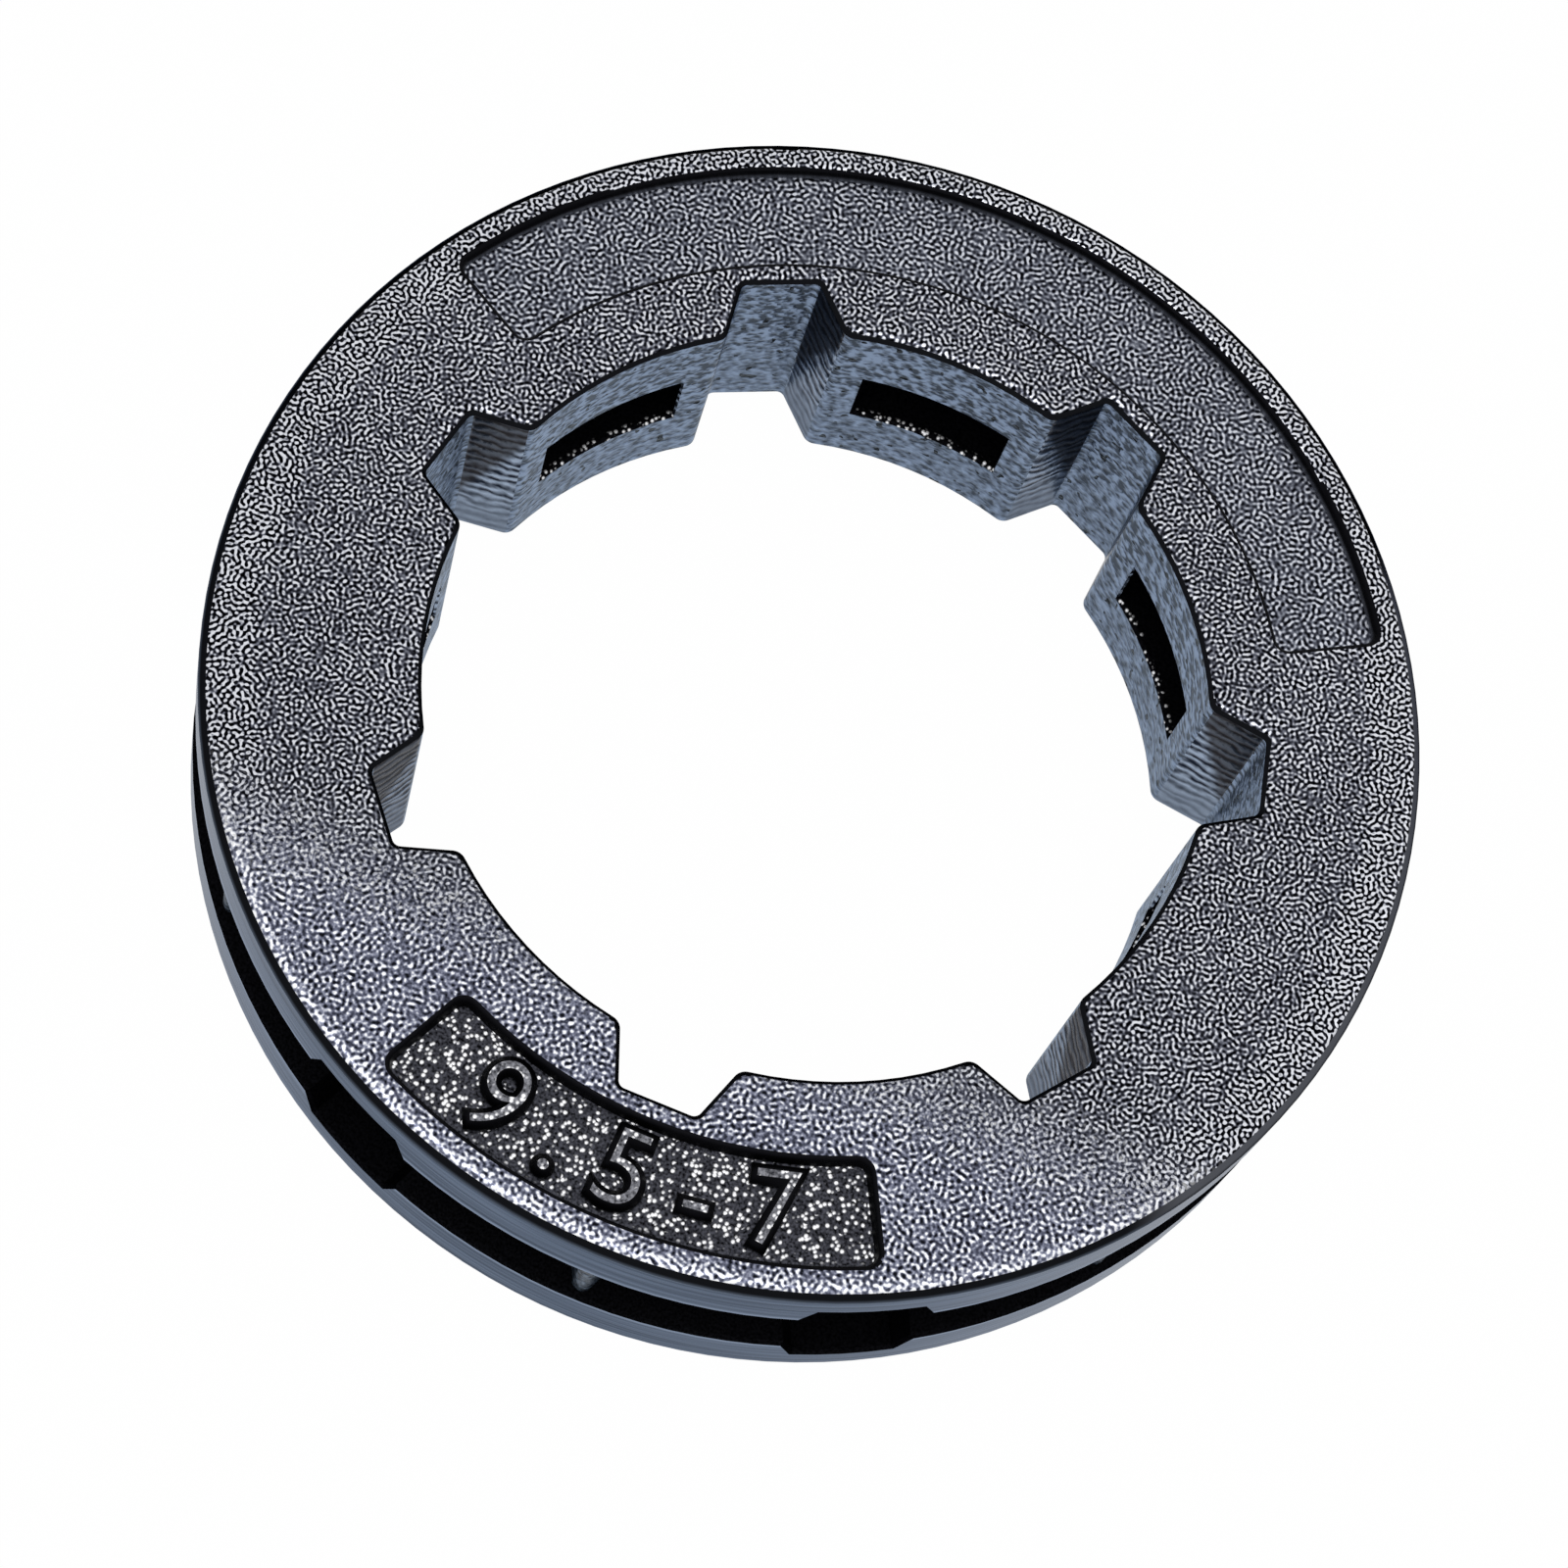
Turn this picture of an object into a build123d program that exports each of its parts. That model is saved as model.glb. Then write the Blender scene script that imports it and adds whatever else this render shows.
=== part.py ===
"""Floating rim sprocket for a chainsaw clutch drum, one sintered steel piece.

Two flanges are joined by seven pointed teeth. The chain's tie straps ride on
the flanges and its drive links hang in the groove between them. A splined bore
slides on the hub, and a window in each land lets sawdust fall through.

Sizes are in millimetres. Z runs up the axis and z = 0 is the lower face.
"""

import os
from math import atan2, cos, degrees, hypot, radians, sin

from build123d import *

# Overall sizes
outer_diameter = 35.0
thickness = 7.9

# Splined bore
spline_count = 7
bore_diameter = 22.6
spline_root_diameter = 25.8
spline_mouth_width = 3.45
spline_root_width = 2.3
spline_mouth_rounding = 0.4
spline_root_rounding = 0.25

# Chain groove between the flanges, wider at the rim than at the bore
groove_mouth_height = 3.0
groove_bore_height = 2.3

# Teeth left standing in the groove, in line with the spline grooves
tooth_tip_setback = 0.25
tooth_tip_rounding = 0.3
window_width = 4.6

# Clearance slots in both flanges, midway between the teeth
slot_mouth_width = 3.65
slot_end_width = 2.85
slot_height = 5.05
slot_depth = 3.3

# Sunk panels in the upper face, set back from the rim and from the spline roots
panel_depth = 0.4
panel_rounding = 0.4
panel_draft_angle = 15.0
arc_panel_rim_margin = 0.9
arc_panel_bore_margin = 0.6
arc_panel_angle = 121.0
size_panel_rim_margin = 0.95
size_panel_bore_margin = 0.65
size_panel_angle = 52.4

# Broken edges
rim_edge_chamfer = 0.3
bore_edge_chamfer = 0.2
groove_edge_chamfer = 0.12
window_edge_chamfer = 0.1
panel_edge_chamfer = 0.1

# How far a cutting shape runs past the surface it cuts
cut_overrun = 1.0

# Edges and corners this close to a radius or height are taken to lie on it
near = 0.01

outer_radius = outer_diameter / 2
bore_radius = bore_diameter / 2
spline_root_radius = spline_root_diameter / 2
mid_height = thickness / 2
tooth_pitch_angle = 360.0 / spline_count
tooth_tip_radius = outer_radius - tooth_tip_setback
slot_inner_radius = outer_radius - slot_depth

# Inner radius, outer radius, middle angle and span of each sunk panel
panel_shapes = (
    (
        spline_root_radius + arc_panel_bore_margin,
        outer_radius - arc_panel_rim_margin,
        90,
        arc_panel_angle,
    ),
    (
        spline_root_radius + size_panel_bore_margin,
        outer_radius - size_panel_rim_margin,
        -90,
        size_panel_angle,
    ),
)

# The space the chain runs in: a tapered ring with the seven teeth left out of it
groove_slope = (groove_mouth_height - groove_bore_height) / 2 / (outer_radius - bore_radius)
groove_inner = bore_radius - cut_overrun
groove_outer = outer_radius + cut_overrun
groove_inner_half = groove_bore_height / 2 - groove_slope * cut_overrun
groove_outer_half = groove_mouth_height / 2 + groove_slope * cut_overrun

window_half_angle = degrees(atan2(window_width / 2, bore_radius))
tooth_base_half_angle = radians(tooth_pitch_angle / 2 - window_half_angle)
tooth_base_x = bore_radius * cos(tooth_base_half_angle)
tooth_base_y = bore_radius * sin(tooth_base_half_angle)

# Rounding a wedge pulls its tip back, so the sharp apex lies outside the finished tip
tooth_apex_x = tooth_tip_radius
for _ in range(12):
    half_angle = atan2(tooth_base_y, tooth_apex_x - tooth_base_x)
    tooth_apex_x = tooth_tip_radius + tooth_tip_rounding * (1 / sin(half_angle) - 1)

with BuildPart() as chain_space:
    with BuildSketch(Plane.XZ):
        with BuildLine():
            Polyline(
                (groove_inner, mid_height - groove_inner_half),
                (groove_outer, mid_height - groove_outer_half),
                (groove_outer, mid_height + groove_outer_half),
                (groove_inner, mid_height + groove_inner_half),
                close=True,
            )
        make_face()
    revolve(axis=Axis.Z)
    with BuildSketch() as teeth_plan:
        with PolarLocations(0, spline_count, start_angle=-90):
            Polygon(
                (tooth_apex_x, 0),
                (tooth_base_x, tooth_base_y),
                (groove_inner - cut_overrun, tooth_base_y),
                (groove_inner - cut_overrun, -tooth_base_y),
                (tooth_base_x, -tooth_base_y),
                align=None,
            )
        tips = [v for v in teeth_plan.vertices() if hypot(v.X, v.Y) > outer_radius - cut_overrun]
        fillet(tips, radius=tooth_tip_rounding)
    extrude(amount=thickness, mode=Mode.SUBTRACT)

# One clearance slot, cut from the rim inward across both flanges
with BuildPart() as clearance_slot:
    with BuildSketch(Plane.XZ.offset(-slot_inner_radius)):
        with BuildLine():
            Polyline(
                (-slot_mouth_width / 2, mid_height),
                (-slot_mouth_width / 2, mid_height + groove_mouth_height / 2),
                (-slot_end_width / 2, mid_height + slot_height / 2),
                (slot_end_width / 2, mid_height + slot_height / 2),
                (slot_mouth_width / 2, mid_height + groove_mouth_height / 2),
                (slot_mouth_width / 2, mid_height - groove_mouth_height / 2),
                (slot_end_width / 2, mid_height - slot_height / 2),
                (-slot_end_width / 2, mid_height - slot_height / 2),
                (-slot_mouth_width / 2, mid_height - groove_mouth_height / 2),
                close=True,
            )
        make_face()
    extrude(amount=-(outer_radius - slot_inner_radius + cut_overrun))

with BuildPart() as rim_sprocket:
    # Disc with the splined bore
    with BuildSketch() as plan:
        Circle(outer_radius)
        Circle(bore_radius, mode=Mode.SUBTRACT)
        flank_run = (spline_mouth_width - spline_root_width) / 2 / (spline_root_radius - bore_radius)
        throat_x = bore_radius - cut_overrun
        throat_half = spline_mouth_width / 2 + flank_run * cut_overrun
        with PolarLocations(0, spline_count, start_angle=-90):
            Polygon(
                (throat_x, -throat_half),
                (spline_root_radius, -spline_root_width / 2),
                (spline_root_radius, spline_root_width / 2),
                (throat_x, throat_half),
                align=None,
                mode=Mode.SUBTRACT,
            )
        inner_corners = [v for v in plan.vertices() if hypot(v.X, v.Y) < outer_radius - cut_overrun]
        middle_radius = (bore_radius + spline_root_radius) / 2
        mouth_corners = [v for v in inner_corners if hypot(v.X, v.Y) < middle_radius]
        fillet(mouth_corners, radius=spline_mouth_rounding)
        root_corners = [
            v
            for v in plan.vertices()
            if middle_radius + spline_mouth_rounding < hypot(v.X, v.Y) < outer_radius - cut_overrun
        ]
        fillet(root_corners, radius=spline_root_rounding)
    extrude(amount=thickness)

    # Broken edges of both faces
    faces = rim_sprocket.faces().filter_by(Axis.Z)
    bore_edges = [e for f in faces for w in f.inner_wires() for e in w.edges()]
    chamfer(bore_edges, length=bore_edge_chamfer)
    faces = rim_sprocket.faces().filter_by(Axis.Z)
    rim_edges = [e for f in faces for e in f.outer_wire().edges()]
    chamfer(rim_edges, length=rim_edge_chamfer)

    # Groove, windows and clearance slots
    add(chain_space.part, mode=Mode.SUBTRACT)
    with PolarLocations(0, spline_count):
        add(clearance_slot.part, mode=Mode.SUBTRACT)

    # Broken edges where the groove and slots meet the rim, and the windows meet the bore
    mouth_edges = []
    window_edges = []
    for edge in rim_sprocket.edges():
        points = [edge.position_at(share) for share in (0, 0.5, 1)]
        if any(abs(p.Z - mid_height) > slot_height / 2 + near for p in points):
            continue
        radii = [hypot(p.X, p.Y) for p in points]
        if all(abs(r - outer_radius) < near for r in radii):
            mouth_edges.append(edge)
        elif all(abs(r - bore_radius) < near for r in radii) and edge.length < window_width * 1.2:
            window_edges.append(edge)
    chamfer(mouth_edges, length=groove_edge_chamfer)
    chamfer(window_edges, length=window_edge_chamfer)

    # Panels sunk in the upper face
    with BuildSketch(Plane.XY.offset(thickness)) as panels:
        for inner, outer, middle, span in panel_shapes:
            start = middle - span / 2
            near_side = Vector(1, 0).rotate(Axis.Z, start)
            far_side = Vector(1, 0).rotate(Axis.Z, start + span)
            with BuildLine():
                CenterArc((0, 0), outer, start, span)
                CenterArc((0, 0), inner, start, span)
                Line(near_side * inner, near_side * outer)
                Line(far_side * inner, far_side * outer)
            make_face()
        fillet(panels.vertices(), radius=panel_rounding)
    extrude(amount=-panel_depth, taper=panel_draft_angle, mode=Mode.SUBTRACT)
    upper_face = rim_sprocket.faces().filter_by(Axis.Z).sort_by(Axis.Z)[-1]
    inner_wires = upper_face.inner_wires()
    panel_wires = [w for w in inner_wires if abs(w.bounding_box().center().Y) > bore_radius / 2]
    chamfer([e for w in panel_wires for e in w.edges()], length=panel_edge_chamfer)

rim_sprocket.part.label = "rim_sprocket"

os.makedirs("parts", exist_ok=True)
export_step(rim_sprocket.part, "parts/rim_sprocket.step")
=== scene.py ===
"""Dressed model of a floating chainsaw rim sprocket, with its studio and camera.

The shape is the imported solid's own. This script gives it smooth shading, the
finishes of its pressed faces, bore, rim and groove, and raised size figures.
Lengths are in metres, and Z runs up the sprocket's axis from its lower face.
"""

import logging
import math
from dataclasses import dataclass, field
from enum import Enum
from typing import Any, Sequence, Union

import bpy
from mathutils import Matrix, Vector


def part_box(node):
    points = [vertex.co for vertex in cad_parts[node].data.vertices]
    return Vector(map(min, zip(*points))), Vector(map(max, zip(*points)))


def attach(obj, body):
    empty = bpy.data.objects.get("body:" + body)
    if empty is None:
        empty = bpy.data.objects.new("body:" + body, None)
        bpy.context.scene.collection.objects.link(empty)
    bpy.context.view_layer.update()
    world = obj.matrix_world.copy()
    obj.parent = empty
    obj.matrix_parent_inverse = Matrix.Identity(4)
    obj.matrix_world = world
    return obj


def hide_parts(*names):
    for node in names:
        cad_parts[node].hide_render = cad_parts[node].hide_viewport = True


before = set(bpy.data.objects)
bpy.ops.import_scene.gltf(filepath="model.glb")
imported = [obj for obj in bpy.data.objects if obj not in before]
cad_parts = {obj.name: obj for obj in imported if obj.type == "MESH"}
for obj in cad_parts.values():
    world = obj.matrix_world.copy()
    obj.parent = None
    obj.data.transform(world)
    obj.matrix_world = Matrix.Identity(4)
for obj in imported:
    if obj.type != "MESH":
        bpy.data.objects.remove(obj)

LOG = logging.getLogger("rim_sprocket")
MM = 0.001
NODE = "rim_sprocket"
BODY = "root"
TEETH = 7

# The Mix node names its inputs alike for every kind of data, so the colour ones go by number
MIX_COLOUR_SOCKETS = (0, 6, 7)

# The phase that a Wave texture of scale 1 covers in one unit, in radians
WAVE_PHASE = 20.0

Colour = tuple[float, float, float]
Stops = Sequence[tuple[float, Colour]]
Number = Union["Value", float]

WHITE: Colour = (1.0, 1.0, 1.0)


def srgb(red: float, green: float, blue: float) -> Colour:
    """Return a colour as linear light.

    Args:
        red: Red as a screen shows it, from 0 to 255.
        green: Green, likewise.
        blue: Blue, likewise.

    Returns:
        The three linear amounts.
    """

    def linear(level: float) -> float:
        """Return one amount by the sRGB curve, a straight foot with a power above it."""
        share = level / 255.0
        return share / 12.92 if share <= 0.04045 else ((share + 0.055) / 1.055) ** 2.4

    return linear(red), linear(green), linear(blue)


class Value:
    """A node's output socket that takes part in Python expressions."""

    def __init__(self, shader: "Shader", socket: bpy.types.NodeSocket) -> None:
        """Keep the socket and the shader that owns it."""
        self.shader = shader
        self.socket = socket

    def output(self, name: str) -> "Value":
        """Return another output of the same node."""
        return Value(self.shader, self.socket.node.outputs[name])

    def _math(self, operation: str, *operands: Number) -> "Value":
        """Add a Math node and return its result.

        Args:
            operation: The Math node's operation.
            operands: Its inputs in order, as values or plain numbers.

        Returns:
            The node's output.
        """
        return self.shader.node("ShaderNodeMath", {"operation": operation}, dict(enumerate(operands)))

    def __add__(self, other: Number) -> "Value":
        """Return self + other."""
        return self._math("ADD", self, other)

    def __radd__(self, other: Number) -> "Value":
        """Return other + self."""
        return self._math("ADD", other, self)

    def __sub__(self, other: Number) -> "Value":
        """Return self - other."""
        return self._math("SUBTRACT", self, other)

    def __rsub__(self, other: Number) -> "Value":
        """Return other - self."""
        return self._math("SUBTRACT", other, self)

    def __mul__(self, other: Number) -> "Value":
        """Return self * other."""
        return self._math("MULTIPLY", self, other)

    def __rmul__(self, other: Number) -> "Value":
        """Return other * self."""
        return self._math("MULTIPLY", other, self)

    def highest(self, other: Number) -> "Value":
        """Return the larger of the two."""
        return self._math("MAXIMUM", self, other)

    def size(self) -> "Value":
        """Return the value without its sign."""
        return self._math("ABSOLUTE", self)

    def ramp(self, low: float, high: float) -> "Value":
        """Return a smooth step from 0 at low to 1 at high."""
        settings = {"interpolation_type": "SMOOTHSTEP"}
        return self.shader.node("ShaderNodeMapRange", settings, {0: self, 1: low, 2: high})

    def spread(self, gain: Number) -> "Value":
        """Return the value stretched about a half by gain, held between 0 and 1."""
        settings = {"operation": "MULTIPLY_ADD", "use_clamp": True}
        return self.shader.node("ShaderNodeMath", settings, {0: self - 0.5, 1: gain, 2: 0.5})

    def part(self, axis: str) -> "Value":
        """Return one coordinate of a point, by its letter."""
        return self.shader.node("ShaderNodeSeparateXYZ", {}, {0: self}).output(axis)

    def scaled(self, scale: tuple[float, float, float]) -> "Value":
        """Return the point with each coordinate multiplied by its scale."""
        return self.shader.node("ShaderNodeVectorMath", {"operation": "MULTIPLY"}, {0: self, 1: scale})

    def from_axis(self) -> "Value":
        """Return the point's distance from the part's axis."""
        flat = self.scaled((1.0, 1.0, 0.0))
        return self.shader.node("ShaderNodeVectorMath", {"operation": "LENGTH"}, {0: flat}).output("Value")


class Shader:
    """A node tree that is filled by expressions."""

    # The solid middle and the edge of a dot, and the width of a cluster, in pitches
    DOT_CORE = 0.2
    DOT_EDGE = 0.48
    DOT_CLUSTER = 4.0

    # How much the draws of a place with a whole dot and one with none differ at least
    DOT_CHOICE = 0.02

    def __init__(self, owner: Union[bpy.types.Material, bpy.types.World]) -> None:
        """Empty the owner's node tree."""
        owner.use_nodes = True
        self.tree = owner.node_tree
        self.tree.nodes.clear()

    def node(self, kind: str, settings: dict[str, Any], sockets: dict[Any, Any]) -> Value:
        """Add one node.

        Args:
            kind: The node's type.
            settings: Its properties. The stops of a ramp are (place, colour) pairs.
            sockets: Values, numbers or colours by input name or number.

        Returns:
            The node's first output.
        """
        made = self.tree.nodes.new(kind)
        for name, setting in settings.items():
            if name == "stops":
                self._set_stops(made.color_ramp, setting)
            else:
                setattr(made, name, setting)
        for key, given in sockets.items():
            if isinstance(given, Value):
                self.tree.links.new(given.socket, made.inputs[key])
            else:
                made.inputs[key].default_value = given
        shown = [s for s in made.outputs if s.enabled]
        return Value(self, shown[0]) if shown else Value(self, made.inputs[0])

    @staticmethod
    def _set_stops(color_ramp: bpy.types.ColorRamp, stops: "Stops") -> None:
        """Give a ramp its stops.

        Args:
            color_ramp: The ramp.
            stops: Its (place, colour) pairs.
        """
        while len(color_ramp.elements) < len(stops):
            color_ramp.elements.new(1.0)
        for element, (place, colour) in zip(color_ramp.elements, stops):
            element.position = place
            element.color = (*colour, 1.0)

    def place(self) -> Value:
        """Return the point on the piece, in its own coordinates."""
        return self.node("ShaderNodeTexCoord", {}, {}).output("Object")

    def noise(self, point: Value, size: float, detail: float = 1.0) -> Value:
        """Return cloudy noise between 0 and 1.

        Args:
            point: Where it is read.
            size: The width of one lump and its gap, in metres.
            detail: How many finer layers are laid over it.

        Returns:
            The noise, about a half on average.
        """
        sockets = {"Vector": point, "Scale": 1.0 / size, "Detail": detail}
        return self.node("ShaderNodeTexNoise", {}, sockets)

    def worms(self, point: Value, period: float) -> Value:
        """Return the wormy grain of a pressed face.

        Args:
            point: Where it is read. Only X and Y count.
            period: From one ridge to the next, in metres.

        Returns:
            The grain, about a half on average.
        """
        ridges_per_cell = 2.0
        sockets = {
            "Vector": point,
            "Scale": 1.0 / (ridges_per_cell * period),
            "Frequency": ridges_per_cell,
            "Anisotropy": 0.0,
        }
        return self.node("ShaderNodeTexGabor", {"gabor_type": "2D"}, sockets)

    def dashes(self, point: Value, width: float, run: float) -> Value:
        """Return level dashes one above another.

        Args:
            point: Where they are read.
            width: The height of one dash and its gap up the Z axis, in metres.
            run: Their length, in metres.

        Returns:
            The dashes, about a half on average.
        """
        squeeze = width / run
        return self.noise(point.scaled((squeeze, squeeze, 1.0)), width)

    def waves(self, point: Value, period: float, wobble: float) -> Value:
        """Return level, wavering ripples one above another.

        Args:
            point: Where they are read.
            period: From one ripple to the next up the Z axis, in metres.
            wobble: How far they waver.

        Returns:
            1 on a ripple's crest, and 0 between ripples.
        """
        sockets = {
            "Vector": point,
            "Scale": math.tau / (WAVE_PHASE * period),
            "Distortion": wobble,
            "Detail": 1.0,
            "Detail Scale": 2.0,
        }
        return self.node("ShaderNodeTexWave", {"bands_direction": "Z"}, sockets).output("Fac")

    def dots(self, point: Value, pitch: float, share: float) -> Value:
        """Return round dots scattered in loose clusters.

        Args:
            point: Where they are read.
            pitch: The mean distance between places for a dot, in metres.
            share: The share of places that have one.

        Returns:
            1 in the middle of a dot, and 0 between dots.
        """
        cells = self.node("ShaderNodeTexVoronoi", {}, {"Vector": point, "Scale": 1.0 / pitch})
        clusters = self.noise(point, self.DOT_CLUSTER * pitch, detail=0.0) - 0.5
        draw = cells.output("Color").part("X") + clusters
        chosen = draw.ramp(1.0 - share, 1.0 - share + self.DOT_CHOICE)
        return (1.0 - cells.output("Distance").ramp(self.DOT_CORE, self.DOT_EDGE)) * chosen

    def colours(self, amount: Value, stops: "Stops") -> Value:
        """Return the colour of a ramp at an amount."""
        return self.node("ShaderNodeValToRGB", {"stops": stops}, {0: amount})

    def blend(self, amount: Value, first: Value, second: Union[Value, Colour]) -> Value:
        """Mix two colours.

        Args:
            amount: The share of the second colour, from 0 to 1.
            first: The colour at 0.
            second: The colour at 1.

        Returns:
            The mixed colour.
        """
        end = second if isinstance(second, Value) else (*second, 1.0)
        factor, start, finish = MIX_COLOUR_SOCKETS
        sockets = {factor: amount, start: first, finish: end}
        return self.node("ShaderNodeMix", {"data_type": "RGBA"}, sockets)

    def relief(self, height: Value, depth: float) -> Value:
        """Return the normal of a surface whose height runs from 0 to depth, in metres."""
        return self.node("ShaderNodeBump", {}, {"Strength": 1.0, "Distance": depth, "Height": height})

    def surface(self, sockets: dict[str, Any]) -> None:
        """End the tree in a Principled shader with these sockets."""
        shader = self.node("ShaderNodeBsdfPrincipled", {}, sockets)
        self.node("ShaderNodeOutputMaterial", {}, {"Surface": shader})

    def seen(self) -> Value:
        """Tell rays that are seen, straight or in metal and glass, from rays that only light.

        Returns:
            1 for a ray that is seen, and 0 for the others.
        """
        path = self.node("ShaderNodeLightPath", {}, {})
        straight = path.output("Is Camera Ray")
        return straight.highest(path.output("Is Glossy Ray")).highest(path.output("Is Transmission Ray"))


@dataclass(frozen=True, kw_only=True)
class Metal:
    """What all the sprocket's finishes share: bare dark steel."""

    name: str
    roughness: float
    grazing: Colour = WHITE

    def material(self) -> bpy.types.Material:
        """Make the finish.

        Returns:
            A material with it.
        """
        made = bpy.data.materials.new(self.name)
        shader = Shader(made)
        sockets = {"Metallic": 1.0, "Roughness": self.roughness, "Specular Tint": (*self.grazing, 1.0)}
        shader.surface(sockets | self.skin(shader))
        return made

    def skin(self, shader: Shader) -> dict[str, Any]:
        """Return the sockets that make this finish its own.

        Args:
            shader: The tree to add nodes to.

        Returns:
            The Principled shader's sockets by name.
        """
        raise NotImplementedError


@dataclass(frozen=True, kw_only=True)
class GrainFinish(Metal):
    """Wormy grain of a pressed and sintered face; its darkest valleys are partly painted shade and its
    brightest peaks partly painted glints.
    """

    period: float = 0.165 * MM
    soft_period: float = 0.185 * MM
    gain: float
    soft_gain: float = 2.4
    # Extra grain contrast towards the rim, a painted sparkle.
    rim_sparkle_gain: float = 4.5
    rim_radius: float = 16.3 * MM
    rim_band: float = 0.5 * MM
    # Where the painted highlight along the rim lies, and how strong it is.
    rim_highlight_radius: float = 17.1 * MM
    rim_highlight_band: float = 0.25 * MM
    rim_highlight_gain: float = 0.22
    crumb: float = 0.12 * MM
    crumb_gain: float = 0.7
    soft_crumb_gain: float = 1.6
    mottle: float = 2.5 * MM
    mottle_gain: float = 0.12
    stops: Stops
    soft_stops: Stops
    soft_from: float = -8.0 * MM
    soft_to: float = -12.0 * MM
    depth: float = 0.01 * MM

    def skin(self, shader: Shader) -> dict[str, Any]:
        """Return a fine grain that is softer and lighter by painted light, with a painted highlight along the
        rim, on the short panel's side.

        Args:
            shader: The tree to add nodes to.

        Returns:
            The Principled shader's sockets by name.
        """
        point = shader.place()
        # Towards -Y the grain is softer, and its lighter colours there are painted light.
        hard = point.part("Y").ramp(self.soft_to, self.soft_from)
        mottle = (shader.noise(point, self.mottle) - 0.5) * self.mottle_gain
        crumbs = shader.noise(point, self.crumb) - 0.5
        radius = point.from_axis()
        # Painted sparkle: the grain's contrast rises towards the rim, standing in for glints.
        painted_rim_sparkle = radius.ramp(self.rim_radius - self.rim_band, self.rim_radius)
        # Painted highlight: a band just inside the rim's edge is made lighter.
        painted_rim_highlight = radius.ramp(self.rim_highlight_radius - self.rim_highlight_band, self.rim_highlight_radius) * self.rim_highlight_gain
        fine = shader.worms(point, self.period).spread(painted_rim_sparkle * self.rim_sparkle_gain + self.gain)
        fine = fine + crumbs * self.crumb_gain + mottle
        soft = shader.worms(point, self.soft_period).spread(self.soft_gain)
        soft = soft + crumbs * self.soft_crumb_gain + mottle + painted_rim_highlight
        return {
            "Base Color": shader.blend(
                hard, shader.colours(soft, self.soft_stops), shader.colours(fine, self.stops)
            ),
            "Normal": shader.relief(crumbs, self.depth),
        }


@dataclass(frozen=True, kw_only=True)
class SpeckFinish(Metal):
    """Dark floor strewn with painted glints, bright round dots, out to some distance from the axis."""

    pitch: float = 0.17 * MM
    share: float = 0.88
    gain: float = 2.5
    mottle_share: float = 0.5
    dark: Colour
    light: Colour
    painted_glint: Colour
    depth: float = 0.02 * MM
    reach: float = 20.0 * MM

    def skin(self, shader: Shader) -> dict[str, Any]:
        """Return painted glints over a mottled floor.

        Args:
            shader: The tree to add nodes to.

        Returns:
            The Principled shader's sockets by name.
        """
        point = shader.place()
        mottle = shader.noise(point, self.mottle_share * self.pitch).spread(self.gain)
        floor = shader.colours(mottle, [(0.0, self.dark), (1.0, self.light)])
        within = 1.0 - point.from_axis().ramp(self.reach - self.pitch, self.reach)
        # Painted glints: bright dots laid into the colour and the relief.
        painted_glints = shader.dots(point, self.pitch, self.share) * within
        return {
            "Base Color": shader.blend(painted_glints, floor, self.painted_glint),
            "Normal": shader.relief(painted_glints, self.depth),
        }


@dataclass(frozen=True, kw_only=True)
class WallFinish(Metal):
    """Smoother slate skin of the bore, rippled towards the upper face, with a few dark pits."""

    width: float = 0.2 * MM
    run: float = 0.28 * MM
    gain: float = 4.5
    calm_share: float = 0.5
    calm_height: float = 1.0 * MM
    rough_height: float = 6.5 * MM
    dark: Colour
    light: Colour
    pit: Colour
    pit_size: float = 0.3 * MM
    pit_level: float = 0.73
    pit_slope: float = 0.04
    depth: float = 0.04 * MM

    def skin(self, shader: Shader) -> dict[str, Any]:
        """Return the ripples and pits.

        Args:
            shader: The tree to add nodes to.

        Returns:
            The Principled shader's sockets by name.
        """
        point = shader.place()
        upper = point.part("Z").ramp(self.calm_height, self.rough_height)
        gain = (upper * (1.0 - self.calm_share) + self.calm_share) * self.gain
        ripple = shader.dashes(point, self.width, self.run).spread(gain)
        pits = shader.noise(point, self.pit_size, detail=0.0)
        pits = pits.ramp(self.pit_level, self.pit_level + self.pit_slope)
        skin = shader.colours(ripple, [(0.0, self.dark), (1.0, self.light)])
        return {
            "Base Color": shader.blend(pits, skin, self.pit),
            "Normal": shader.relief(ripple - pits, self.depth),
        }


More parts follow.
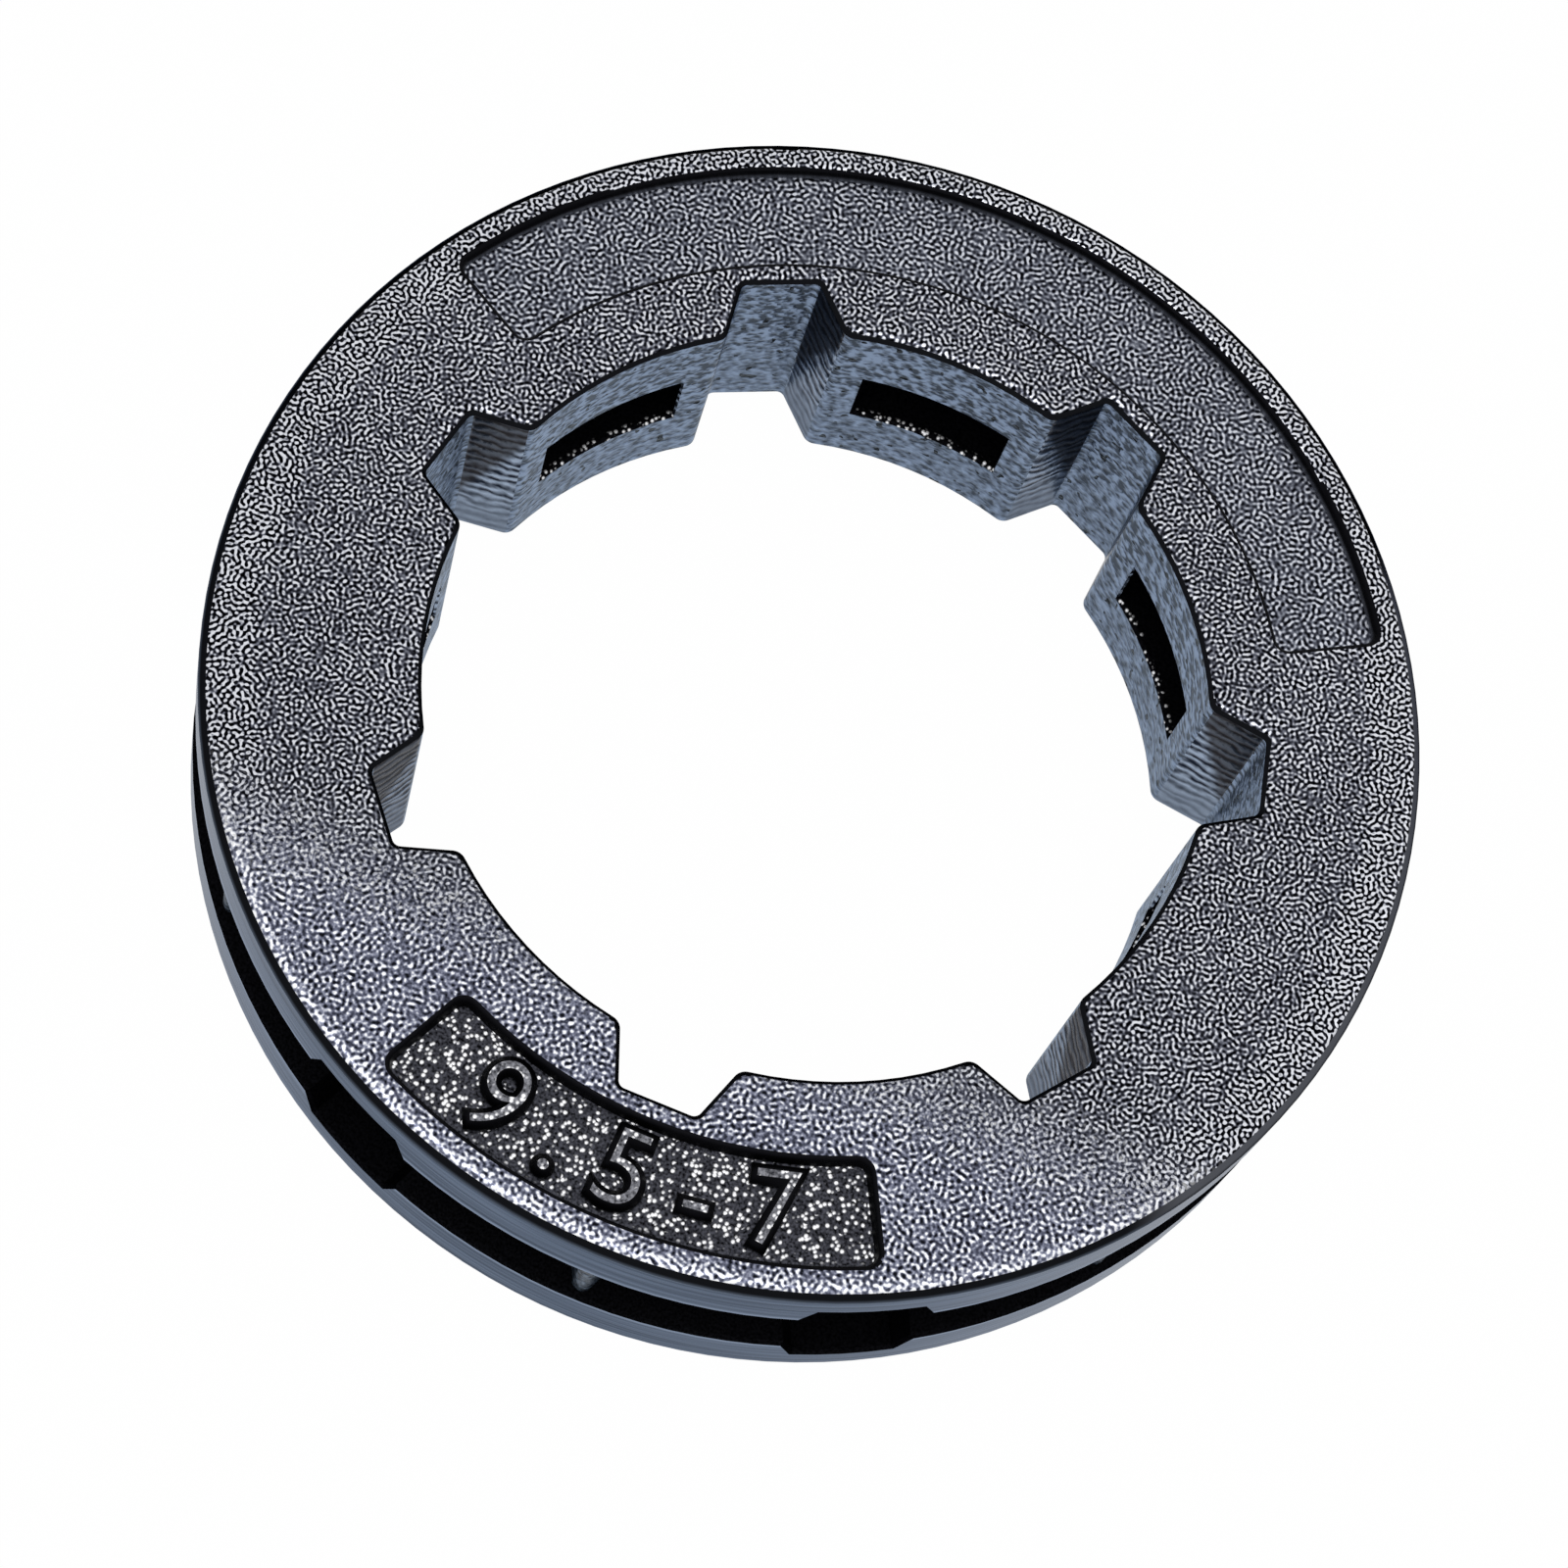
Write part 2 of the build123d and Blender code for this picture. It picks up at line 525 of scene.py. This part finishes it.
@dataclass(frozen=True, kw_only=True)
class RippleFinish(Metal):
    """Slate skin of the spline's flanks, rippled by the press, with painted shade in its upper corner."""

    period: float = 0.48 * MM
    wobble: float = 5.0
    calm_share: float = 0.25
    calm_height: float = 0.8 * MM
    rough_height: float = 4.0 * MM
    crumb: float = 0.25 * MM
    crumb_gain: float = 1.2
    mouth_radius: float = 11.3 * MM
    corner_slant: float = 2.9
    corner_from: float = 6.3 * MM
    corner_to: float = 7.5 * MM
    corner_share: float = 0.8
    dark: Colour
    light: Colour
    corner_shade: Colour
    depth: float = 0.02 * MM

    def skin(self, shader: Shader) -> dict[str, Any]:
        """Return the ripples, broken up by crumbs and lost in the painted shade of the upper corner.

        Args:
            shader: The tree to add nodes to.

        Returns:
            The Principled shader's sockets by name.
        """
        point = shader.place()
        height = point.part("Z")
        upper = height.ramp(self.calm_height, self.rough_height)
        # Painted shade: the flank is dark in its upper corner, which reaches further down on the root side.
        rise = height + (point.from_axis() - self.mouth_radius) * self.corner_slant
        painted_corner_shade = rise.ramp(self.corner_from, self.corner_to) * self.corner_share
        crumbs = (shader.noise(point, self.crumb) - 0.5) * self.crumb_gain
        waves = shader.waves(point, self.period, self.wobble) + crumbs
        ripple = waves.spread(upper * (1.0 - self.calm_share) + self.calm_share)
        skin = shader.colours(ripple, [(0.0, self.dark), (1.0, self.light)])
        return {
            "Base Color": shader.blend(painted_corner_shade, skin, self.corner_shade),
            "Normal": shader.relief(ripple, self.depth),
        }


@dataclass(frozen=True, kw_only=True)
class TurnedFinish(Metal):
    """Ground skin of the rim, with fine lines that run round it and painted highlights on its edges at the
    groove.
    """

    line: float = 0.2 * MM
    run: float = 8.0 * MM
    gain: float = 2.6
    dark: Colour
    light: Colour
    edge_highlight: Colour
    middle: float = 3.95 * MM
    highlight_from: float = 1.62 * MM
    highlight_to: float = 1.92 * MM
    depth: float = 0.003 * MM

    def skin(self, shader: Shader) -> dict[str, Any]:
        """Return the lines and the painted edge highlights.

        Args:
            shader: The tree to add nodes to.

        Returns:
            The Principled shader's sockets by name.
        """
        point = shader.place()
        lines = shader.dashes(point, self.line, self.run).spread(self.gain)
        skin = shader.colours(lines, [(0.0, self.dark), (1.0, self.light)])
        # Painted highlight: the rim is lighter next to the groove.
        painted_edge_highlight = 1.0 - (point.part("Z") - self.middle).size().ramp(self.highlight_from, self.highlight_to)
        return {
            "Base Color": shader.blend(painted_edge_highlight, skin, self.edge_highlight),
            "Normal": shader.relief(lines, self.depth),
        }


@dataclass(frozen=True, kw_only=True)
class FadeFinish(Metal):
    """Crumbly skin of a tooth, with painted shade deep in the groove and lighter at the rim."""

    groove_shade: Colour
    hollow: Colour
    outside: Colour
    from_radius: float = 15.2 * MM
    to_radius: float = 16.4 * MM
    crumb: float = 0.22 * MM
    gain: float = 3.0
    depth: float = 0.05 * MM

    def skin(self, shader: Shader) -> dict[str, Any]:
        """Return the crumbs and the painted shade by distance from the axis.

        Args:
            shader: The tree to add nodes to.

        Returns:
            The Principled shader's sockets by name.
        """
        point = shader.place()
        crumbs = shader.noise(point, self.crumb).spread(self.gain)
        skin = shader.colours(crumbs, [(0.0, self.hollow), (1.0, self.outside)])
        # Painted shade: the tooth darkens deep in the groove.
        painted_groove_shade = 1.0 - point.from_axis().ramp(self.from_radius, self.to_radius)
        return {
            "Base Color": shader.blend(painted_groove_shade, skin, self.groove_shade),
            "Normal": shader.relief(crumbs, self.depth),
        }


@dataclass(frozen=True, kw_only=True)
class ShadedFinish(Metal):
    """Skin with painted shade just under the upper face, lighter further down."""

    upper: Colour
    lower: Colour
    from_height: float = 7.52 * MM
    to_height: float = 7.7 * MM

    def skin(self, shader: Shader) -> dict[str, Any]:
        """Return the colour by height, the painted shade at the top."""
        up = shader.place().part("Z").ramp(self.from_height, self.to_height)
        return {"Base Color": shader.colours(up, [(0.0, self.lower), (1.0, self.upper)])}


@dataclass(frozen=True, kw_only=True)
class EdgeFinish(ShadedFinish):
    """Broken edge with a painted shade line that runs lower down, under a light band, on the +X side."""

    side: Colour
    side_from: float = 13.2 * MM
    side_to: float = 14.6 * MM

    def skin(self, shader: Shader) -> dict[str, Any]:
        """Return the colour by height and side, with its painted shade line.

        Args:
            shader: The tree to add nodes to.

        Returns:
            The Principled shader's sockets by name.
        """
        point = shader.place()
        up = point.part("Z").ramp(self.from_height, self.to_height)
        line_above = shader.colours(up, [(0.0, self.lower), (1.0, self.upper)])
        line_below = shader.colours(up, [(0.0, self.upper), (1.0, self.side)])
        to_side = point.part("X").ramp(self.side_from, self.side_to)
        return {"Base Color": shader.blend(to_side, line_above, line_below)}


@dataclass(frozen=True, kw_only=True)
class PlainFinish(Metal):
    """One colour all over."""

    colour: Colour

    def skin(self, shader: Shader) -> dict[str, Any]:
        """Return the colour."""
        return {"Base Color": (*self.colour, 1.0)}


class Region(Enum):
    """The differently finished regions of the sprocket, each with its finish."""

    FACE = GrainFinish(
        name="pressed face",
        roughness=0.34,
        gain=3.4,
        crumb_gain=1.15,
        # Grain colours: the darkest stops are partly painted shade in the valleys, and the brightest partly
        # painted glints on the peaks.
        stops=(
            (0.0, srgb(2, 2, 3)),
            (0.3, srgb(36, 37, 44)),
            (0.5, srgb(72, 74, 84)),
            (0.7, srgb(114, 117, 128)),
            (1.0, srgb(216, 218, 224)),
        ),
        # Lighter and bluer than the stops: painted light on the -Y side, with painted glints at the top end.
        soft_stops=(
            (0.0, srgb(18, 19, 25)),
            (0.3, srgb(69, 72, 87)),
            (0.5, srgb(102, 105, 123)),
            (0.7, srgb(145, 149, 167)),
            (1.0, srgb(250, 251, 253)),
        ),
    )
    ARC_PANEL = GrainFinish(
        name="arc panel floor",
        roughness=0.38,
        gain=3.2,
        rim_sparkle_gain=0.0,
        period=0.175 * MM,
        # As on the face: the darkest stops are partly painted shade, and the brightest partly painted glints.
        stops=(
            (0.0, srgb(7, 7, 10)),
            (0.3, srgb(48, 50, 59)),
            (0.5, srgb(82, 85, 96)),
            (0.7, srgb(122, 126, 137)),
            (1.0, srgb(206, 209, 217)),
        ),
        soft_stops=((0.0, srgb(20, 20, 24)), (0.5, srgb(86, 89, 100)), (1.0, srgb(180, 184, 194))),
    )
    SIZE_PANEL = SpeckFinish(
        name="size panel floor",
        roughness=0.34,
        dark=srgb(8, 8, 10),
        light=srgb(74, 75, 83),
        painted_glint=srgb(245, 245, 247),
        reach=16.42 * MM,
    )
    BORE = WallFinish(
        name="bore wall",
        roughness=0.42,
        grazing=(0.86, 0.93, 1.0),
        dark=srgb(44, 51, 63),
        light=srgb(128, 144, 169),
        pit=srgb(12, 13, 16),
    )
    FLANK = RippleFinish(
        name="spline flank",
        roughness=0.24,
        grazing=(0.42, 0.42, 0.43),
        dark=srgb(42, 47, 56),
        light=srgb(162, 177, 198),
        corner_shade=srgb(56, 54, 53),
    )
    RIM = TurnedFinish(
        name="ground rim",
        roughness=0.25,
        grazing=(0.53, 0.58, 0.67),
        dark=srgb(44, 49, 58),
        light=srgb(98, 108, 123),
        edge_highlight=srgb(142, 153, 170),
    )
    EDGE = EdgeFinish(
        name="broken edge",
        roughness=0.35,
        grazing=(0.2, 0.2, 0.22),
        upper=srgb(20, 21, 24),
        lower=srgb(76, 84, 97),
        side=srgb(80, 82, 88),
        from_height=7.58 * MM,
        to_height=7.68 * MM,
    )
    ARC_WALL = ShadedFinish(
        name="arc panel wall",
        roughness=0.5,
        upper=srgb(14, 14, 17),
        lower=srgb(96, 99, 108),
    )
    # Near-black walls of the size panel, also on the figures' sides: painted shade.
    SIZE_WALL = PlainFinish(
        name="size panel wall",
        roughness=0.5,
        colour=srgb(16, 16, 19),
    )
    FIGURE = SpeckFinish(
        name="figure top",
        roughness=0.34,
        dark=srgb(44, 45, 50),
        light=srgb(140, 141, 148),
        painted_glint=srgb(250, 250, 252),
    )
    TOOTH = FadeFinish(
        name="tooth flank",
        roughness=0.45,
        groove_shade=srgb(30, 31, 35),
        hollow=srgb(36, 42, 50),
        outside=srgb(92, 106, 123),
    )
    # Near-black groove: painted shade; its specks, which reach only the window floors by the bore, are
    # painted glints.
    GROOVE = SpeckFinish(
        name="groove skin",
        roughness=0.6,
        pitch=0.16 * MM,
        share=0.8,
        grazing=(0.3, 0.31, 0.33),
        dark=srgb(4, 4, 5),
        light=srgb(17, 17, 20),
        painted_glint=srgb(250, 250, 252),
        reach=11.55 * MM,
    )

    @property
    def finish(self) -> Metal:
        """The region's finish."""
        return self.value


def deselect_all() -> None:
    """Leave object mode with nothing selected."""
    if bpy.context.object and bpy.context.object.mode != "OBJECT":
        bpy.ops.object.mode_set(mode="OBJECT")
    bpy.ops.object.select_all(action="DESELECT")


def make_active(piece: bpy.types.Object) -> None:
    """Select one object alone and make it active.

    Args:
        piece: The object.
    """
    deselect_all()
    piece.select_set(True)
    bpy.context.view_layer.objects.active = piece


def hand_over(piece: bpy.types.Object) -> None:
    """Let a finished piece ride on the part.

    Args:
        piece: The piece.
    """
    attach(piece, BODY)
    LOG.info("%s: %d faces", piece.name, len(piece.data.polygons))


@dataclass
class RimSprocket:
    """The whole sprocket, smooth shaded and dressed region by region."""

    outer_radius: float
    thickness: float
    panel_depth: float = 0.4 * MM
    spline_root_radius: float = 12.9 * MM
    window_half: float = 1.1 * MM
    near: float = 0.03 * MM
    merge_distance: float = 0.001 * MM
    flat_angle: float = math.radians(0.5)
    sharp_angle: float = math.radians(38.0)
    edge_width: float = 0.12 * MM
    edge_steps: int = 3

    # How far the bore, the rim and the rim's broken edges reach from their radii
    bore_band: float = 0.25 * MM
    rim_band: float = 0.2 * MM
    rim_edge_band: float = 0.5 * MM

    # How level these may be at most, where 0 is upright and 1 is level, and a panel's floor at least
    wall_level: float = 0.4
    bore_level: float = 0.6
    broken_level: float = 0.8
    panel_edge_level: float = 0.9
    floor_level: float = 0.95

    # How squarely the rim faces outwards and the bore inwards at least
    rim_outwards: float = 0.9
    bore_inwards: float = 0.7

    piece: bpy.types.Object = field(init=False)

    @classmethod
    def from_frame(cls) -> "RimSprocket":
        """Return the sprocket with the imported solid's overall sizes."""
        _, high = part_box(NODE)
        return cls(outer_radius=high.x, thickness=high.z)

    def build(self) -> None:
        """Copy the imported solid, round its sharp edges and shade it smooth."""
        make_active(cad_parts[NODE])
        bpy.ops.object.duplicate()
        self.piece = bpy.context.object
        self.piece.name = "rim_sprocket_dressed"
        bpy.ops.mesh.customdata_custom_splitnormals_clear()
        bpy.ops.object.mode_set(mode="EDIT")
        bpy.ops.mesh.select_all(action="SELECT")
        bpy.ops.mesh.remove_doubles(threshold=self.merge_distance)
        bpy.ops.mesh.dissolve_limited(angle_limit=self.flat_angle)
        bpy.ops.object.mode_set(mode="OBJECT")
        self._round_face_edges()
        bpy.ops.object.shade_smooth_by_angle(angle=self.sharp_angle)
        weighted = self.piece.modifiers.new("weighted normals", "WEIGHTED_NORMAL")
        weighted.keep_sharp = True
        bpy.ops.object.modifier_apply(modifier=weighted.name)
        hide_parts(NODE)

    def _round_face_edges(self) -> None:
        """Round the edges where the upper and lower faces end, so that they catch the light."""
        bpy.ops.object.mode_set(mode="EDIT")
        bpy.ops.mesh.select_mode(type="EDGE")
        bpy.ops.mesh.select_all(action="DESELECT")
        bpy.ops.mesh.edges_select_sharp(sharpness=self.sharp_angle)
        bpy.ops.object.mode_set(mode="OBJECT")
        mesh = self.piece.data
        sharp = [edge for edge in mesh.edges if edge.select]
        for element in (*mesh.vertices, *mesh.edges, *mesh.polygons):
            element.select = False
        for edge in sharp:
            heights = [mesh.vertices[index].co.z for index in edge.vertices]
            edge.select = all(min(z, self.thickness - z) < self.near for z in heights)
        bpy.ops.object.mode_set(mode="EDIT")
        bpy.ops.mesh.bevel(offset=self.edge_width, segments=self.edge_steps, affect="EDGES")
        bpy.ops.object.mode_set(mode="OBJECT")

    def region_at(self, centre: Vector, normal: Vector) -> Region:
        """Tell which region a face belongs to.

        Args:
            centre: The face's middle.
            normal: Its outward normal.

        Returns:
            The region.
        """
        radius = math.hypot(centre.x, centre.y)
        from_face = min(centre.z, self.thickness - centre.z)
        from_middle = abs(centre.z - 0.5 * self.thickness)
        level = abs(normal.z)
        by_bore = radius < self.spline_root_radius + self.bore_band
        outwards = (centre.x * normal.x + centre.y * normal.y) / radius
        if from_face < self.panel_depth + self.near:
            return self._outer_region(centre, radius, from_face, level, by_bore)
        upright = level < self.wall_level
        if radius > self.outer_radius - self.rim_band:
            return Region.RIM if upright and outwards > self.rim_outwards else Region.GROOVE
        inwards = outwards < 0.0
        if by_bore and level < self.bore_level and (inwards or from_middle > self.window_half):
            return Region.BORE if outwards < -self.bore_inwards else Region.FLANK
        # The first tooth points to -Y, and each one owns the half pitch about it
        by_tooth = math.cos(TEETH * (math.atan2(centre.y, centre.x) + 0.5 * math.pi)) > 0.0
        return Region.TOOTH if upright and by_tooth else Region.GROOVE

    def _outer_region(
        self, centre: Vector, radius: float, from_face: float, level: float, by_bore: bool
    ) -> Region:
        """Tell which region a face on or just under the upper or lower face belongs to.

        Args:
            centre: The face's middle.
            radius: Its distance from the axis.
            from_face: Its distance from the upper or lower face, whichever is nearer.
            level: How level it is, where 0 is upright.
            by_bore: Whether it is at the bore.

        Returns:
            The region.
        """
        on_rim = radius > self.outer_radius - self.rim_edge_band
        wall = Region.ARC_WALL if centre.y > 0 else Region.SIZE_WALL
        if level < self.wall_level:
            return Region.RIM if on_rim else Region.BORE if by_bore else wall
        if level > self.floor_level and abs(from_face - self.panel_depth) < self.near:
            return Region.ARC_PANEL if centre.y > 0 else Region.SIZE_PANEL
        broken = on_rim or by_bore
        if level > (self.broken_level if broken else self.panel_edge_level):
            return Region.FACE
        return Region.EDGE if broken else wall

    def dress(self) -> None:
        """Give each region its material."""
        mesh = self.piece.data
        mesh.materials.clear()
        order = list(Region)
        for region in order:
            mesh.materials.append(region.finish.material())
        for face in mesh.polygons:
            face.material_index = order.index(self.region_at(face.center, face.normal))
        hand_over(self.piece)


@dataclass
class SizeFigures:
    """Plain size figures raised from the floor of the short panel."""

    floor: float
    words: str = "9.5-7"
    height: float = 2.3 * MM
    base_radius: float = 16.1 * MM
    rise: float = 0.36 * MM
    slope: float = 0.18 * MM
    thinning: float = 0.045 * MM
    spacing: float = 1.5

    # The height of a figure as a share of its font's size, and how level its top is at least
    font_share: float = 0.72
    top_level: float = 0.9

    piece: bpy.types.Object = field(init=False)

    def build(self) -> None:
        """Type the figures, raise them and bend them round the axis."""
        deselect_all()
        bpy.ops.object.text_add(location=(0.0, 0.0, 0.0))
        self.piece = bpy.context.object
        self.piece.name = "size_figures"
        text = self.piece.data
        text.body = self.words
        text.align_x = "CENTER"
        text.size = self.height / self.font_share
        text.space_character = self.spacing
        text.bevel_depth = self.slope
        text.bevel_resolution = 0
        text.offset = -self.thinning
        text.extrude = self.rise - self.slope
        bpy.ops.object.convert(target="MESH")
        mesh = self.piece.data
        for vertex in mesh.vertices:
            radius = self.base_radius - vertex.co.y
            angle = -0.5 * math.pi + vertex.co.x / (self.base_radius - 0.5 * self.height)
            height = self.floor + vertex.co.z
            vertex.co = (radius * math.cos(angle), radius * math.sin(angle), height)

    def dress(self) -> None:
        """Give the tops their painted glints and the sides the painted shade of the panel's walls."""
        mesh = self.piece.data
        mesh.materials.append(bpy.data.materials[Region.FIGURE.finish.name])
        mesh.materials.append(bpy.data.materials[Region.SIZE_WALL.finish.name])
        for face in mesh.polygons:
            face.material_index = 0 if face.normal.z > self.top_level else 1
        hand_over(self.piece)


@dataclass(frozen=True)
class Lamp:
    """A flat, soft lamp over the sprocket, with its power in watts."""

    name: str
    place: tuple[float, float, float]
    sides: tuple[float, float]
    power: float

    def hang(self, aim: Vector) -> None:
        """Hang the lamp in its place.

        Args:
            aim: The point that it faces.
        """
        deselect_all()
        bpy.ops.object.light_add(type="AREA", location=self.place)
        lamp = bpy.context.object
        lamp.name = self.name
        lamp.data.shape = "RECTANGLE"
        lamp.data.size, lamp.data.size_y = self.sides
        lamp.data.energy = self.power
        lamp.rotation_euler = (Vector(self.place) - aim).to_track_quat("Z", "Y").to_euler()


@dataclass
class Studio:
    """White floor, soft light and the camera of the photograph."""

    aim: Vector = field(default_factory=lambda: Vector((0.0, -1.39, 3.95)) * MM)
    distance: float = 129.5 * MM
    azimuth: float = math.radians(-91.85)
    elevation: float = math.radians(68.39)
    roll: float = math.radians(23.97)
    lens: float = 102.63
    sensor_width: float = 36.0
    clip_start: float = 5.0 * MM
    floor_size: float = 3.0
    floor_gap: float = 0.02 * MM
    floor_grey: Colour = (0.9, 0.9, 0.9)
    whiteness: float = 0.99
    ambient: float = 0.5
    lamps: tuple[Lamp, ...] = (
        Lamp(name="key lamp", place=(-0.03, -0.125, 0.36), sides=(0.26, 0.12), power=0.3),
        Lamp(name="fill lamp", place=(0.22, 0.12, 0.30), sides=(0.2, 0.2), power=0.08),
    )

    def build_camera(self) -> None:
        """Stand the camera where the photograph was taken from."""
        across = math.cos(self.elevation)
        towards = Vector(
            (across * math.cos(self.azimuth), across * math.sin(self.azimuth), math.sin(self.elevation))
        )
        deselect_all()
        bpy.ops.object.camera_add(location=self.aim + towards * self.distance)
        camera = bpy.context.object
        turn = towards.to_track_quat("Z", "Y").to_matrix() @ Matrix.Rotation(self.roll, 3, "Z")
        camera.rotation_euler = turn.to_euler()
        camera.data.sensor_width = self.sensor_width
        camera.data.lens = self.lens
        camera.data.clip_start = self.clip_start
        bpy.context.scene.camera = camera

    def build_floor(self) -> None:
        """Lay a white floor that keeps a soft shadow and is clear from below."""
        deselect_all()
        bpy.ops.mesh.primitive_plane_add(size=self.floor_size, location=(0.0, 0.0, -self.floor_gap))
        floor = bpy.context.object
        floor.name = "floor"
        paint = bpy.data.materials.new("white floor")
        shader = Shader(paint)
        matt = shader.node("ShaderNodeBsdfDiffuse", {}, {"Color": (*self.floor_grey, 1.0)})
        white = shader.node("ShaderNodeEmission", {}, {"Color": (*WHITE, 1.0), "Strength": 1.0})
        above = shader.node("ShaderNodeMixShader", {}, {0: shader.seen() * self.whiteness, 1: matt, 2: white})
        clear = shader.node("ShaderNodeBsdfTransparent", {}, {})
        from_below = shader.node("ShaderNodeNewGeometry", {}, {}).output("Backfacing")
        both = shader.node("ShaderNodeMixShader", {}, {0: from_below, 1: above, 2: clear})
        shader.node("ShaderNodeOutputMaterial", {}, {"Surface": both})
        floor.data.materials.append(paint)

    def build_light(self) -> None:
        """Light the room evenly and hang the soft lamps over it."""
        world = bpy.data.worlds.new("white room")
        bpy.context.scene.world = world
        shader = Shader(world)
        strength = shader.seen() * (1.0 - self.ambient) + self.ambient
        glow = shader.node("ShaderNodeBackground", {}, {"Color": (*WHITE, 1.0), "Strength": strength})
        shader.node("ShaderNodeOutputWorld", {}, {"Surface": glow})
        for lamp in self.lamps:
            lamp.hang(self.aim)


def main() -> None:
    """Build, dress and light the sprocket, and keep its sizes."""
    logging.basicConfig(level=logging.INFO, format="%(name)s %(message)s")
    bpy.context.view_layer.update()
    sprocket = RimSprocket.from_frame()
    sprocket.build()
    sprocket.dress()
    figures = SizeFigures(floor=sprocket.thickness - sprocket.panel_depth)
    figures.build()
    figures.dress()
    studio = Studio()
    studio.build_floor()
    studio.build_light()
    studio.build_camera()
    bpy.context.scene.view_settings.view_transform = "Standard"


if __name__ == "__main__":
    main()
